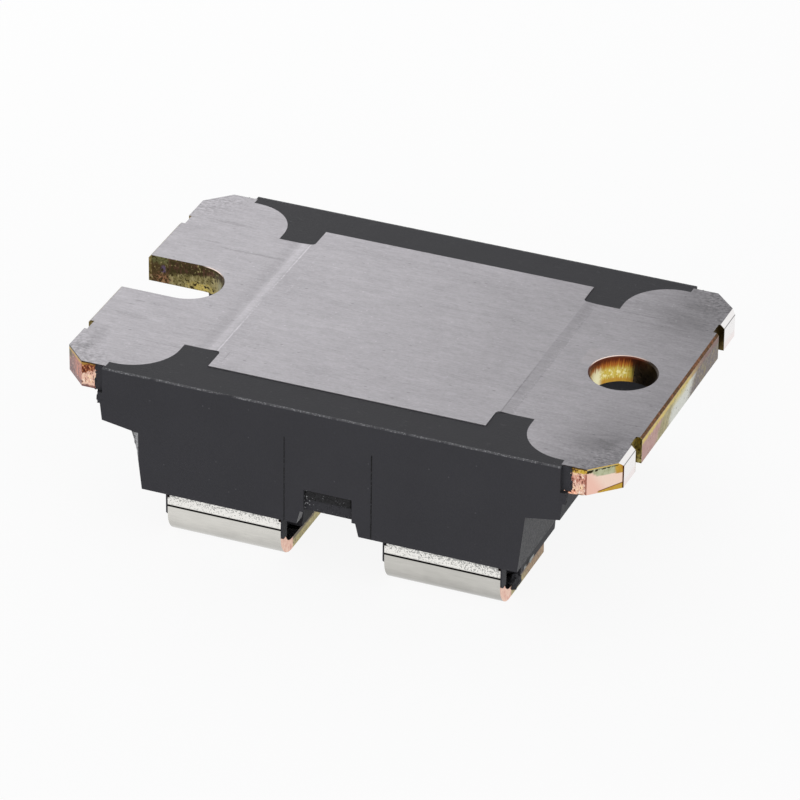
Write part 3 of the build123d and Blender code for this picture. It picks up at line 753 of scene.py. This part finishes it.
def finish_moulding():
    material, w = new_material("moulding")
    place, x, y, z = place_on_piece(w)
    facing = facing_of(w)
    skin = use_group(w, mottle, Place=place, Wide=4.0, Grain=7.0)
    grit = skin["Grit"]
    far_x, far_y = w.size(x), w.size(y)
    tone = w.vary(skin["Clouds"], 0.20, 1.0)
    tone = w.vary(grit, 0.24, tone)
    endways = w.rise(w.size(facing[0]), 0.5, 0.8)
    end_wall = w.both(endways, w.span(far_x, 12.7, 13.5), w.fall(z, 7.9, 8.0))
    recess = w.both(w.fall(far_x, 1.70, 1.76), w.span(far_y, 12.05, 12.42), w.fall(z, 6.42, 6.5))
    crumbs = scatter(w, place, per_mm=7.0, size=0.5, share=0.5)
    chips = scatter(w, w.stretch(place, 0.8, 1.0, 1.0), per_mm=11.0, size=0.55, share=0.62)
    broken = w.rise(w.noise(place, 0.8, 3.0, 0.6), 0.30, 0.48)
    # The top front edge: its pale speckled line is partly scuffs and partly a painted highlight where a
    # rounded edge would catch the light.
    edge = w.both(w.rise(z, 11.95, 12.00), w.rise(far_y, 12.42, 12.50), broken)
    dust = scatter(w, place, per_mm=2.2, size=0.15, share=0.10)
    coat = Coat(w, w.shade((0.039, 0.0385, 0.0435), tone))
    on_top = w.rise(facing[2], 0.8, 0.95)
    # Painted shade: faces that look up are drawn darker.
    coat.where(on_top, 0.30, show=(0.020, 0.020, 0.021))
    worn = w.rise(w.noise(w.stretch(place, 1.2, 2.0, 1.0), 1.0, 4.0, 0.7), 0.58, 0.75)
    coat.where(on_top, worn, 0.3, show=(0.085, 0.085, 0.088))
    # Painted sheen: the end walls are drawn paler, partly for their coarse grain and partly as the light
    # from the right.
    grainy_wall_and_sheen = w.shade((0.14, 0.14, 0.143), w.add(grit, 2.0, -0.1))
    coat.where(end_wall, 0.9, show=grainy_wall_and_sheen)
    # Painted shade: the other faces that look along X are drawn darker.
    coat.where(endways, w.fall(end_wall, 0.0, 0.1), 0.5, show=(0.030, 0.031, 0.033))
    coat.where(edge, w.either(chips, 0.22), show=(0.27, 0.27, 0.28))
    gate_recess_colours(w, coat, recess, crumbs, grit, x, z)
    coat.where(dust, 0.22, show=(0.16, 0.16, 0.17))
    seam_line = w.both(w.span(far_x, 2.95, 3.02, 0.02), w.rise(far_y, 12.2, 12.3))
    coat.where(seam_line, w.fall(z, 9.9, 10.0), w.rise(grit, 0.36, 0.5), show=(0.010, 0.010, 0.010))
    # Painted sheen: faces that look along X near the middle of each long side, low down, are drawn light
    # grey.
    inner_cheek_sheen = w.both(endways, w.span(far_x, 1.85, 2.35), w.rise(far_y, 11.6, 11.8), w.fall(z, 4.8, 5.0))
    coat.where(inner_cheek_sheen, show=w.shade((0.21, 0.21, 0.215), w.plus(0.5, grit)))
    gusset = w.both(w.fall(x, -13.14, -13.10), w.span(z, 5.9, 7.86, 0.04),
                    w.span(far_y, 11.5, 12.62, 0.02))
    coat.where(gusset, show=w.shade((0.30, 0.30, 0.305), w.add(grit, 3.6, -0.8)))
    flakes = w.both(w.rise(far_x, 11.2, 11.3), w.span(far_y, 6.2, 7.9), w.span(z, 0.80, 1.2, 0.02))
    coat.where(flakes, show=(0.42, 0.44, 0.42))
    # Painted shadow: a black spot low on the core, where a small pit lies in shade.
    low_core_pit_shadow = smudge(w, y, z, (-7.3, 1.2), (0.5, 0.4), grit)
    coat.where(low_core_pit_shadow, endways, w.rise(x, 10.0, 11.0), show=(0.006, 0.006, 0.006))
    rough = w.lay(w.add(grit, 0.12, 0.52), end_wall, 0.75)
    height = w.add(w.both(end_wall, w.plus(0.35, grit)), 2.6, grit)
    height = w.add(w.both(recess, crumbs), 3.0, height)
    close(w, coat.colour, rough, 0.0, w.bump(height, 0.018), **{"Specular IOR Level": 0.10})
    return material


finishes["moulding"] = finish_moulding()
print("moulding finish:", len(finishes["moulding"].node_tree.nodes), "nodes")


# %% [markdown]
# Each terminal is a copper strip with a bright nickel coat, bent round its nut holder. The strip's
# short upright part, between the mould and the groove that guides the bend, was masked by the mould
# and stayed frosted. The cut ends and the strip's long edges are bare copper again, so they take the
# same heat colours as the plate's.

# %% Terminal finish
def finish_terminals():
    material, w = new_material("nickel_strip")
    place, x, y, z = place_on_piece(w)
    facing = facing_of(w)
    rolled = use_group(w, fine_lines, Place=place, Lengthwise=0.8, Crosswise=7.0)
    worn = use_group(w, mottle, Place=place, Wide=2.5, Grain=12.0)
    tone = w.vary(rolled["Lines"], 0.20, 1.0)
    tone = w.vary(worn["Clouds"], 0.16, tone)
    frosted = w.both(w.rise(z, 2.45, 2.55), w.rise(w.size(facing[1]), 0.7, 0.9))
    crystals = w.noise(place, 9.0, 3.0, 0.75)
    shaded = w.add(w.rise(z, 2.6, 3.6), 0.17, w.times(w.rise(x, 2.0, 11.0), 0.05))
    dull = w.fall(w.minus(crystals, shaded), 0.33, 0.46)
    # Painted shade: the strip is drawn darker towards the bottom of its fold and towards the right.
    tone = w.add(w.fall(w.add(worn["Clouds"], 0.8, z), 0.9, 2.3), -0.24, tone)
    tone = w.add(w.rise(x, -9.0, 9.0), -0.17, tone)
    nickel = w.shade((0.68, 0.665, 0.625), tone)
    nickel = w.paint(nickel, w.both(w.rise(worn["Grit"], 0.60, 0.72), 0.5), (0.36, 0.35, 0.31))
    frost = w.paint((0.88, 0.865, 0.83), dull, (0.33, 0.33, 0.32))
    frost = w.paint(frost, w.fall(crystals, 0.26, 0.34), (0.10, 0.10, 0.10))
    coat = Coat(w, w.paint(nickel, frosted, frost))
    # Painted shade: the groove that guides the bend is drawn as a near-black line.
    groove_shade = w.span(z, 2.33, 2.47, 0.02)
    coat.where(groove_shade, show=(0.02, 0.018, 0.015))
    long_edge = w.rise(w.size(facing[0]), 0.6, 0.8)
    cut_end = w.both(w.rise(w.size(facing[1]), 0.8, 0.9), w.fall(w.size(y), 3.8, 3.9))
    on_lug = w.fall(w.size(y), 9.6, 9.9)
    torn = use_group(w, torn_metal, Place=place)
    heat = Heat(w, torn)
    straw, upper = heat.stage("straw", 0.3), w.rise(heat.frayed(z, 0.3), 0.5, 0.62)
    lug = w.paint(straw, upper, heat.stage("brown", 0.3, -0.03))
    browned = w.both(w.rise(x, 3.6, 3.7), w.rise(heat.frayed(y, 1.5), -8.4, -6.2), 0.8)
    lug = w.paint(lug, browned, (0.25, 0.125, 0.055))
    lug = heat.speckled(lug, 0.3, (0.10, 0.06, 0.03), 0.1, (0.55, 0.45, 0.22))
    pale, in_tears = heat.stage("pale", 0.3, 0.05), w.both(w.rise(heat.ragged, 0.5, 0.6), 0.7)
    fold = w.paint(pale, in_tears, heat.stage("salmon", 0.2))
    bare = w.either(long_edge, cut_end)
    coat.where(bare, show=w.paint(fold, on_lug, lug))
    rough = w.lay(w.lay(0.2, frosted, 0.45), bare, torn["Roughness"])
    height = w.lay(rolled["Lines"], frosted, w.times(crystals, 2.0))
    close(w, coat.colour, rough, 1.0, w.bump(height, 0.003))
    return material


finishes["nickel_strip"] = finish_terminals()
print("terminal finish:", len(finishes["nickel_strip"].node_tree.nodes), "nodes")


# %% [markdown]
# The other pieces are hidden in the object or seen only from below. Their finishes are simpler, but
# each still has its own grain: zinc with soft clouds on the nuts, dull crystals on the solder, drawn
# lines on the copper, a dense white grain on the ceramic, and a dark mirror with faint scratches on the
# silicon.

# %% Nut, solder, copper, ceramic and silicon
def finish_simply(name, colour, rough, wide, grain, strength, metallic=1.0, lined=False):
    """Clouds so wide in millimetres, grain or drawn lines, and the strength of both."""
    material, w = new_material(name)
    place, *_ = place_on_piece(w)
    worn = use_group(w, mottle, Place=place, Wide=wide, Grain=grain)
    pattern = worn["Grit"]
    if lined:
        pattern = use_group(w, fine_lines, Place=place, Lengthwise=0.6, Crosswise=grain)["Lines"]
    tone = w.vary(worn["Clouds"], strength, 1.0)
    tone = w.vary(pattern, strength, tone)
    uneven = w.vary(pattern, 0.2, rough)
    close(w, w.shade(colour, tone), uneven, metallic, w.bump(pattern, 0.006))
    finishes[name] = material


finish_simply("nut_steel", (0.55, 0.55, 0.54), rough=0.32, wide=2.0, grain=9.0, strength=0.35)
finish_simply("solder", (0.68, 0.68, 0.70), rough=0.48, wide=1.5, grain=6.0, strength=0.4)
finish_simply("copper", (0.74, 0.42, 0.29), rough=0.32, wide=4.0, grain=8.0, strength=0.3, lined=True)
finish_simply(
    "ceramic", (0.86, 0.86, 0.83), rough=0.35, wide=3.0, grain=12.0, strength=0.08, metallic=0.0)
finish_simply(
    "silicon", (0.10, 0.11, 0.14), rough=0.15, wide=3.0, grain=10.0, strength=0.3, metallic=0.0,
    lined=True)
print("finishes:", ", ".join(finishes))

# %% Finishes onto the solids
slots = {part["node"]: part["material_slot"] for part in frame["record"]["subparts"]}
for node, piece in frame["nodes"].items():
    for material_slot in piece.material_slots:
        material_slot.material = finishes[slots[node]]
print("dressed", len(slots), "nodes")

# %% [markdown]
# The small pieces come next. Each starts as a primitive at its own size and place, and is shaped in
# edit mode as by hand. These helpers select one object alone, pick its points, edges or faces by
# where they lie, and apply a modifier. When a piece is done, its place is written into its mesh and
# it rides on the one body of this part.

# %% Helpers for modelling
def alone(piece):
    if bpy.context.object and bpy.context.object.mode != "OBJECT":
        bpy.ops.object.mode_set(mode="OBJECT")
    bpy.ops.object.select_all(action="DESELECT")
    piece.select_set(True)
    bpy.context.view_layer.objects.active = piece


@contextlib.contextmanager
def picked(piece, kind, test):
    """Edit mode, with only those points, edges or faces selected whose centre passes the test."""
    alone(piece)
    bpy.ops.object.mode_set(mode="EDIT")
    bpy.ops.mesh.select_mode(type=kind)
    bpy.ops.mesh.select_all(action="DESELECT")
    bpy.ops.object.mode_set(mode="OBJECT")
    mesh = piece.data
    points = [v.co for v in mesh.vertices]
    if kind == "VERT":
        for vertex in mesh.vertices:
            vertex.select = bool(test(vertex.co / MM))
    else:
        for item in (mesh.edges if kind == "EDGE" else mesh.polygons):
            centre = sum((points[i] for i in item.vertices), Vector()) / len(item.vertices)
            item.select = bool(test(centre / MM))
    bpy.ops.object.mode_set(mode="EDIT")
    yield
    bpy.ops.object.mode_set(mode="OBJECT")


def everything(centre):
    """The test that picks all of a piece."""
    return True


def apply_modifier(piece, kind, **settings):
    alone(piece)
    modifier = piece.modifiers.new(kind.lower(), kind)
    for name, value in settings.items():
        setattr(modifier, name, value)
    bpy.ops.object.modifier_apply(modifier=modifier.name)


def join(piece, other):
    alone(piece)
    other.select_set(True)
    bpy.ops.object.join()


def settle(piece, name, slot, smooth=30):
    """Finish a piece: its place goes into its mesh, its faces outwards, its finish onto it."""
    alone(piece)
    bpy.ops.object.transform_apply(location=True, rotation=True, scale=True)
    bpy.ops.object.mode_set(mode="EDIT")
    bpy.ops.mesh.select_all(action="SELECT")
    bpy.ops.mesh.remove_doubles(threshold=1e-7)
    bpy.ops.mesh.normals_make_consistent(inside=False)
    bpy.ops.object.mode_set(mode="OBJECT")
    bpy.ops.object.shade_smooth_by_angle(angle=math.radians(smooth))
    piece.name = name
    piece.data.name = name
    piece.data.materials.clear()
    piece.data.materials.append(finishes[slot])
    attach(piece, "root")
    print(name, len(piece.data.polygons), "faces")


def copy_of(piece, name):
    twin = piece.copy()
    twin.data = piece.data.copy()
    twin.name = name
    scene.collection.objects.link(twin)
    return twin


def mirrored(piece, name, slot, over_x=False, over_y=False):
    twin = copy_of(piece, name)
    factors = (-1 if over_x else 1, -1 if over_y else 1, 1)
    with picked(twin, "VERT", everything):
        bpy.ops.transform.resize(value=factors, center_override=(0, 0, 0))
    settle(twin, name, slot)


def settle_at_corners(piece, name, slot, smooth=30):
    """Finish a piece made at the front right, and mirror it to the three other corners."""
    settle(piece, f"{name}_front_right", slot, smooth)
    mirrored(piece, f"{name}_front_left", slot, over_x=True)
    mirrored(piece, f"{name}_back_right", slot, over_y=True)
    mirrored(piece, f"{name}_back_left", slot, over_x=True, over_y=True)


def settle_on_both_sides(piece, name, slot, smooth=30):
    """Finish a piece made at the front, and mirror it to the back."""
    settle(piece, f"{name}_front", slot, smooth)
    mirrored(piece, f"{name}_back", slot, over_y=True)


# %% [markdown]
# An M4 nut sits behind each terminal. Seen from below through the terminal's hole, its thread is what
# one notices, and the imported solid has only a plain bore. A hexagon is cut down by a turned disc, as
# the corners of real nuts are turned off, then bored to the thread's outer diameter. The thread is one
# small triangle, run round and down by a screw modifier. It is made once and copied to the four places.

# %% Nut blank
NUT_X, NUT_Y, NUT_LOW, NUT_HIGH = 7.525, 6.35, 0.8, 4.0
NUT_HEIGHT = NUT_HIGH - NUT_LOW
NUT_FLAT, NUT_TURNED, NUT_FACE_STEP, NUT_FACE_DROP = 3.5, 3.925, 0.25, 0.5
THREAD_OUTER, THREAD_CORE, THREAD_PITCH = 2.0, 1.66, 0.7


def add_cylinder(sides, radius, depth, turn=0.0, place=(0, 0, 0)):
    bpy.ops.object.select_all(action="DESELECT")
    bpy.ops.mesh.primitive_cylinder_add(
        vertices=sides, radius=radius * MM, depth=depth * MM, location=[v * MM for v in place],
        rotation=(0, 0, turn))
    bpy.ops.object.transform_apply(location=False, rotation=True, scale=False)
    return bpy.context.object


def at_nut_ends(centre):
    return abs(centre.z) > NUT_HEIGHT / 2 - 0.01


def make_nut_blank():
    nut = add_cylinder(6, NUT_FLAT / math.cos(math.pi / 6), NUT_HEIGHT, turn=math.pi / 6)
    disc = add_cylinder(72, NUT_TURNED, NUT_HEIGHT)
    with picked(disc, "FACE", at_nut_ends):
        bpy.ops.mesh.inset(thickness=NUT_FACE_STEP * MM)
    for sign in (-1, 1):
        with picked(disc, "VERT", lambda c: c.xy.length > 3.8 and c.z * sign > 0):
            bpy.ops.transform.translate(value=(0, 0, -sign * NUT_FACE_DROP * MM))
    apply_modifier(nut, "BOOLEAN", operation="INTERSECT", object=disc, solver="EXACT")
    bore = add_cylinder(48, THREAD_OUTER, NUT_HEIGHT + 1)
    apply_modifier(nut, "BOOLEAN", operation="DIFFERENCE", object=bore, solver="EXACT")
    with picked(nut, "EDGE", lambda c: c.xy.length < THREAD_OUTER + 0.05 and at_nut_ends(c)):
        bpy.ops.mesh.bevel(offset=0.2 * MM, segments=1)
    for helper in (disc, bore):
        bpy.data.objects.remove(helper)
    return nut


nut_blank = make_nut_blank()
print("nut blank", len(nut_blank.data.polygons), "faces")

# %% Thread and the four nuts
def make_thread():
    """A triangle with its tip at the core, screwed up through the nut and cut off inside its ends."""
    deep = THREAD_OUTER + 0.02 - THREAD_CORE
    radius = deep * 2 / 3
    middle = ((THREAD_CORE + radius) * MM, 0, (-NUT_HEIGHT / 2 - 0.3) * MM)
    bpy.ops.object.select_all(action="DESELECT")
    bpy.ops.mesh.primitive_circle_add(
        vertices=3, radius=radius * MM, fill_type="NOTHING", location=middle, rotation=(0, 0, math.pi / 2))
    bpy.ops.object.transform_apply(location=True, rotation=True, scale=True)
    thread = bpy.context.object
    with picked(thread, "VERT", everything):
        bpy.ops.transform.rotate(value=math.pi / 2, orient_axis="X", center_override=middle)
        bpy.ops.transform.resize(value=(1, 1, 1.49), center_override=middle)
    apply_modifier(thread, "SCREW", angle=math.tau, screw_offset=THREAD_PITCH * MM, iterations=6,
                   steps=40, render_steps=40, axis="Z")
    end = NUT_HEIGHT / 2 - 0.12
    for level, sign in ((end, 1), (-end, -1)):
        with picked(thread, "VERT", everything):
            bpy.ops.mesh.bisect(
                plane_co=(0, 0, level * MM), plane_no=(0, 0, sign), use_fill=True, clear_outer=True)
    return thread


def place_nuts(blank):
    """The nut is finished at the front right, and its copies are shifted to the other three places."""
    join(blank, make_thread())
    blank.location = (NUT_X * MM, -NUT_Y * MM, (NUT_LOW + NUT_HIGH) / 2 * MM)
    settle(blank, "threaded_nut_cathode_2", "nut_steel", smooth=35)
    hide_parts("cathode_nut_2")
    to_left, to_back = -2 * NUT_X * MM, 2 * NUT_Y * MM
    for place, shift in (("cathode_1", (to_left, 0, 0)), ("anode_2", (0, to_back, 0)),
                         ("anode_1", (to_left, to_back, 0))):
        kind, number = place.split("_")
        twin = copy_of(blank, f"threaded_nut_{place}")
        twin.location = shift
        settle(twin, f"threaded_nut_{place}", "nut_steel", smooth=35)
        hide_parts(f"{kind}_nut_{number}")


place_nuts(nut_blank)

# %% [markdown]
# In the mould, resin crept a little way along the plate's sides and set there as a thin dark film with
# a torn edge. It hides the bare copper next to the body at all four corners. A small grid is stood on
# the plate's side, its outer edge is shaken with a fixed seed, and a solidify modifier gives it its
# few hundredths of thickness. The other corners get mirrored copies.

# %% Resin film beside the plate's corners
def add_grid(columns, rows, low, high, face_y):
    """A standing grid from its low corner to its high corner, both (x, z), at one depth."""
    middle = ((low[0] + high[0]) / 2 * MM, face_y * MM, (low[1] + high[1]) / 2 * MM)
    bpy.ops.object.select_all(action="DESELECT")
    bpy.ops.mesh.primitive_grid_add(
        x_subdivisions=columns, y_subdivisions=rows, size=MM, location=middle, rotation=(math.pi / 2, 0, 0))
    bpy.ops.object.transform_apply(location=True, rotation=True, scale=True)
    grid = bpy.context.object
    with picked(grid, "VERT", everything):
        bpy.ops.transform.resize(value=(high[0] - low[0], 1, high[1] - low[1]), center_override=middle)
    return grid


def shake(piece, test, reach, seed):
    with picked(piece, "VERT", test):
        bpy.ops.transform.vertex_random(offset=reach * MM, uniform=0.0, normal=0.0, seed=seed)


def make_resin_film():
    film = add_grid(columns=7, rows=16, low=(15.5, 10.16), high=(16.24, 12.03), face_y=-12.23)
    shake(film, lambda c: c.x > 16.1, reach=0.14, seed=3)
    shake(film, lambda c: 15.6 < c.x < 16.2, reach=0.02, seed=5)
    apply_modifier(film, "SOLIDIFY", thickness=0.05 * MM, offset=0.0)
    fringe = add_grid(columns=4, rows=6, low=(15.5, 9.45), high=(15.98, 10.24), face_y=-12.42)
    shake(fringe, lambda c: c.x > 15.9, reach=0.07, seed=8)
    apply_modifier(fringe, "SOLIDIFY", thickness=0.34 * MM, offset=0.0)
    join(film, fringe)
    settle_at_corners(film, "resin_film", "moulding")


make_resin_film()

# %% [markdown]
# The gate is where resin entered the mould, in the middle of each long side. When the sprue is broken
# off, it leaves a torn upper band in a shallow recess. A flat grid would look like a sticker, so its
# points are shaken in depth and its lower edge is left ragged.

# %% Torn gate scars
def make_gate_scar():
    scar = add_grid(columns=46, rows=11, low=(-1.62, 5.62), high=(1.62, 6.33), face_y=-12.27)
    shake(scar, everything, reach=0.045, seed=11)
    shake(scar, lambda c: c.z < 5.68, reach=0.10, seed=12)
    apply_modifier(scar, "SOLIDIFY", thickness=0.10 * MM, offset=1.0)
    settle_on_both_sides(scar, "gate_scar", "moulding", smooth=20)


make_gate_scar()

# %% [markdown]
# Two faint upright lines on each long side show where the mould's inserts met. They are beads of
# resin a few hundredths wide. A thin six-sided rod is divided along its length and shaken, so that it
# breaks up into the dotted line that one sees.

# %% Insert lines
def make_insert_line():
    low, high = 3.9, 9.9
    rod = add_cylinder(6, 0.035, high - low, place=(2.97, -12.595, (low + high) / 2))
    bpy.ops.object.transform_apply(location=True, rotation=False, scale=False)
    with picked(rod, "EDGE", lambda c: low + 0.1 < c.z < high - 0.1):
        bpy.ops.mesh.subdivide(number_cuts=44)
    shake(rod, everything, reach=0.022, seed=7)
    settle_at_corners(rod, "insert_line", "moulding", smooth=60)


make_insert_line()

# %% [markdown]
# A few crumbs are left over from the mould and the press: a knob of resin on the side of the front
# right terminal, a gusset of flash under the left flange, resin flakes on the terminal, and a torn burr
# of copper under the plate's front right corner. Crumbs are small balls, shaken and flattened.

# %% Crumbs and burrs
def add_crumb(name, slot, centre, reach, seed, rough=0.25, cuts=3):
    """A shaken ball of one millimetre, flattened to its reach along each axis."""
    bpy.ops.object.select_all(action="DESELECT")
    bpy.ops.mesh.primitive_ico_sphere_add(subdivisions=cuts, radius=MM, location=(0, 0, 0))
    crumb = bpy.context.object
    with picked(crumb, "VERT", everything):
        bpy.ops.transform.vertex_random(offset=rough * MM, uniform=0.0, normal=0.6, seed=seed)
        bpy.ops.transform.resize(value=reach, center_override=(0, 0, 0))
        bpy.ops.transform.translate(value=[v * MM for v in centre])
    settle(crumb, name, slot, smooth=50)


add_crumb("resin_knob", "moulding", (11.40, -8.95, 0.66), (0.32, 0.70, 0.50), seed=21)
add_crumb("resin_flake_1", "moulding", (11.52, -7.35, 1.02), (0.10, 0.35, 0.10), seed=22, rough=0.4, cuts=2)
add_crumb("resin_flake_2", "moulding", (11.5, -6.6, 0.86), (0.14, 0.22, 0.07), seed=23, rough=0.4, cuts=2)
add_crumb("copper_burr", "copper", (16.1, -12.16, 10.22), (0.42, 0.12, 0.13), seed=24, rough=0.5)

# %% Gusset of flash
GUSSET_CENTRE, GUSSET_SIZE = (-13.35, -12.12, 7.1), (0.5, 0.9, 1.9)


def make_gusset():
    """Flash that runs down the tower's corner from the flange, thick above and thin below."""
    middle = [v * MM for v in GUSSET_CENTRE]
    bpy.ops.object.select_all(action="DESELECT")
    bpy.ops.mesh.primitive_cube_add(size=MM, location=middle)
    bpy.ops.object.transform_apply(location=True, rotation=True, scale=True)
    gusset = bpy.context.object
    with picked(gusset, "VERT", everything):
        bpy.ops.transform.resize(value=GUSSET_SIZE, center_override=middle)
    with picked(gusset, "VERT", lambda c: c.z < 6.5 and c.x < GUSSET_CENTRE[0]):
        bpy.ops.transform.translate(value=(0.36 * MM, 0, 0))
    with picked(gusset, "VERT", lambda c: c.z < 6.5):
        bpy.ops.transform.translate(value=(0.12 * MM, 0, 0))
    with picked(gusset, "FACE", everything):
        bpy.ops.mesh.subdivide(number_cuts=9)
    shake(gusset, lambda c: c.x < -13.3 and c.z < 7.9, reach=0.10, seed=31)
    settle_on_both_sides(gusset, "flash_gusset", "moulding", smooth=40)


make_gusset()
